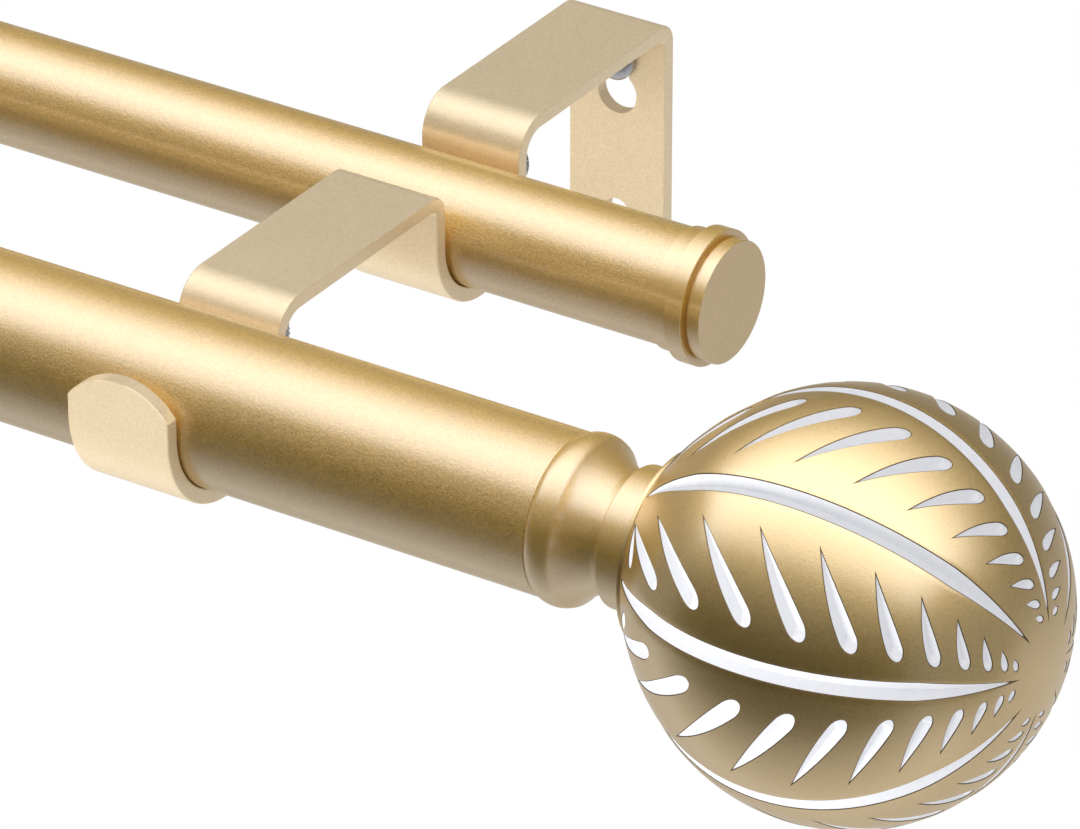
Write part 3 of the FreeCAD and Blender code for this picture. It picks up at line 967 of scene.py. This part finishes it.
def seen_directly(tree):
    """1 on camera, glossy and transmission rays, which see the plain white background."""
    path = tree.nodes.new("ShaderNodeLightPath")
    total = path.outputs["Is Camera Ray"]
    for name in ("Is Glossy Ray", "Is Transmission Ray"):
        add = tree.nodes.new("ShaderNodeMath")
        add.operation = "MAXIMUM"
        tree.links.new(total, add.inputs[0])
        tree.links.new(path.outputs[name], add.inputs[1])
        total = add.outputs[0]
    return total


def world():
    """Even white light on the object before a plain white background."""
    data = bpy.data.worlds.new("studio")
    bpy.context.scene.world = data
    data.use_nodes = True
    tree = data.node_tree
    background = tree.nodes["Background"]
    background.inputs["Color"].default_value = (1, 1, 1, 1)
    level = tree.nodes.new("ShaderNodeMapRange")
    level.inputs["To Min"].default_value = WORLD_LEVEL
    level.inputs["To Max"].default_value = 1.0
    tree.links.new(seen_directly(tree), level.inputs["Value"])
    tree.links.new(level.outputs["Result"], background.inputs["Strength"])


def floor():
    """Pale floor, clear from below so that a low camera still sees the object."""
    corners = ((-1, -1), (1, -1), (1, 1), (-1, 1))
    obj = make_object("floor", [(x * FLOOR_HALF, y * FLOOR_HALF, FLOOR_Z) for x, y in corners],
                      [(0, 1, 2, 3)], [])
    material = bpy.data.materials.new("floor")
    material.use_nodes = True
    tree = material.node_tree
    matt = tree.nodes["Principled BSDF"]
    matt.inputs["Base Color"].default_value = (0.85, 0.85, 0.85, 1)
    matt.inputs["Roughness"].default_value = 0.9
    glow = tree.nodes.new("ShaderNodeEmission")
    blend = tree.nodes.new("ShaderNodeMixShader")
    tree.links.new(seen_directly(tree), blend.inputs[0])
    tree.links.new(matt.outputs[0], blend.inputs[1])
    tree.links.new(glow.outputs[0], blend.inputs[2])
    sides = tree.nodes.new("ShaderNodeMixShader")
    tree.links.new(tree.nodes.new("ShaderNodeNewGeometry").outputs["Backfacing"], sides.inputs[0])
    tree.links.new(blend.outputs[0], sides.inputs[1])
    tree.links.new(tree.nodes.new("ShaderNodeBsdfTransparent").outputs[0], sides.inputs[2])
    tree.links.new(sides.outputs[0], tree.nodes["Material Output"].inputs["Surface"])
    obj.data.materials.append(material)


def light_tent():
    """Closed card tube round the poles that only reflections show; its ends are one plain grey."""
    first, last = TENT_LEVELS[0][0], TENT_LEVELS[-1][0]
    steps = 120
    vertices = [(-TENT_HALF, FRONT_Y, FRONT_Z), (TENT_HALF, FRONT_Y, FRONT_Z)]
    for i in range(steps):
        angle = math.radians(first + (last - first) * i / steps)
        y, z = FRONT_Y - TENT_RADIUS * math.cos(angle), FRONT_Z + TENT_RADIUS * math.sin(angle)
        vertices += [(-TENT_HALF, y, z), (TENT_HALF, y, z)]
    faces = []
    for i in range(steps):
        a, b = 2 + 2 * i, 2 + 2 * ((i + 1) % steps)
        faces += [(a, a + 1, b + 1, b), (0, a, b), (1, b + 1, a + 1)]
    obj = make_object("light_tent", vertices, faces, [])
    m = Nodes("light_tent")
    split = m.add("ShaderNodeSeparateXYZ", Vector=m.place)
    forward = m.math("SUBTRACT", FRONT_Y * MM, split.outputs["Y"])
    upward = m.math("SUBTRACT", split.outputs["Z"], FRONT_Z * MM)
    angle = m.math("ARCTAN2", upward, forward)
    past_seam = m.math("LESS_THAN", angle, math.radians(first))
    turned = m.math("ADD", angle, m.math("MULTIPLY", past_seam, 2 * math.pi))
    along = m.range(turned, math.radians(first), math.radians(last), 0.0, 1.0)
    stops = [((at - first) / (last - first), (level / TENT_PEAK,) * 3) for at, level in TENT_LEVELS]
    distance = m.math("ABSOLUTE", split.outputs["X"], 0.0)
    end = m.range(distance, (TENT_HALF - TENT_FADE) * MM, (TENT_HALF - 1) * MM, 0.0, 1.0)
    level = m.mix(end, m.ramp(along, stops), (TENT_END / TENT_PEAK,) * 3)
    glow = m.add("ShaderNodeEmission", Color=level, Strength=TENT_PEAK)
    m.tree.links.new(glow.outputs[0], m.tree.nodes["Material Output"].inputs["Surface"])
    m.tree.nodes.remove(m.shader)
    obj.data.materials.append(m.material)
    obj.visible_camera = False
    obj.visible_diffuse = False
    obj.visible_shadow = False
    obj.visible_transmission = False


def studio():
    camera()
    world()
    floor()
    light_tent()
    softbox("low_front")
    bpy.context.scene.view_settings.view_transform = "Standard"


# The object

pole("front_pole", FRONT_R, FRONT_HALF, FRONT_Y, FRONT_Z)
pole("rear_pole", REAR_R, REAR_HALF, REAR_Y, REAR_Z)
BALL_MODEL = carved_ball()
for end, side in ENDS:
    bracket(end + "_bracket", side * BRACKET_X)
    for row, y, z, radius, cradle in (("_rear", REAR_Y, REAR_Z, REAR_R, REAR_CRADLE),
                                      ("_front", FRONT_Y, FRONT_Z, FRONT_R, FRONT_CRADLE)):
        lock_screw(end + row + "_lock_screw", side * BRACKET_X, y, z + LOCK_RISE, radius, cradle)
    neck(end + "_finial_neck", side)
    rear_cap(end + "_rear_cap", side)
    finial_ball(end + "_finial_ball", side, BALL_MODEL)
    for node, material in (("_wall_screw", ZINC), ("_finial_stud", ZINC), ("_pole_plug", PLASTIC)):
        for slot in frame["nodes"][end + node].material_slots:
            slot.material = material

studio()
